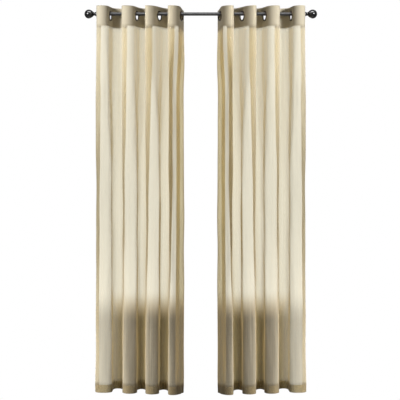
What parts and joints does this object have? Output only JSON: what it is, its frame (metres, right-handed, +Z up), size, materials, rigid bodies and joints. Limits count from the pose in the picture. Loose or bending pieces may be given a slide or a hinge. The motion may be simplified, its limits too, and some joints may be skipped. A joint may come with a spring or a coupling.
{
  "type": "sheer voile curtain pair on a rod",
  "caption": "Pair of sheer beige voile curtains with dark eyelet headings, hanging in soft upright folds from a thin black rod with ball finials.",
  "frame": {"origin": "middle of the rod's length, on the rod's axis", "axes": "+X along the rod to the right-hand finial, +Y to the back, behind the curtains, +Z up"},
  "size_m": [1.2914, 0.1531, 2.154],
  "materials": {
    "voile": "sheer plain weave, matt",
    "bronzed_ring": "dark bronzed, semi-gloss",
    "black_rod": "satin black",
    "black_gloss": "gloss black"
  },
  "bodies": {
    "root": {"left_panel": "voile", "right_panel": "voile", "left_eyelet_1": "bronzed_ring", "left_eyelet_2": "bronzed_ring", "left_eyelet_3": "bronzed_ring", "left_eyelet_4": "bronzed_ring", "left_eyelet_5": "bronzed_ring", "left_eyelet_6": "bronzed_ring", "left_eyelet_7": "bronzed_ring", "left_eyelet_8": "bronzed_ring", "right_eyelet_1": "bronzed_ring", "right_eyelet_2": "bronzed_ring", "right_eyelet_3": "bronzed_ring", "right_eyelet_4": "bronzed_ring", "right_eyelet_5": "bronzed_ring", "right_eyelet_6": "bronzed_ring", "right_eyelet_7": "bronzed_ring", "right_eyelet_8": "bronzed_ring", "rod": "black_rod", "left_finial": "black_gloss", "right_finial": "black_gloss"}
  },
  "joints": []
}
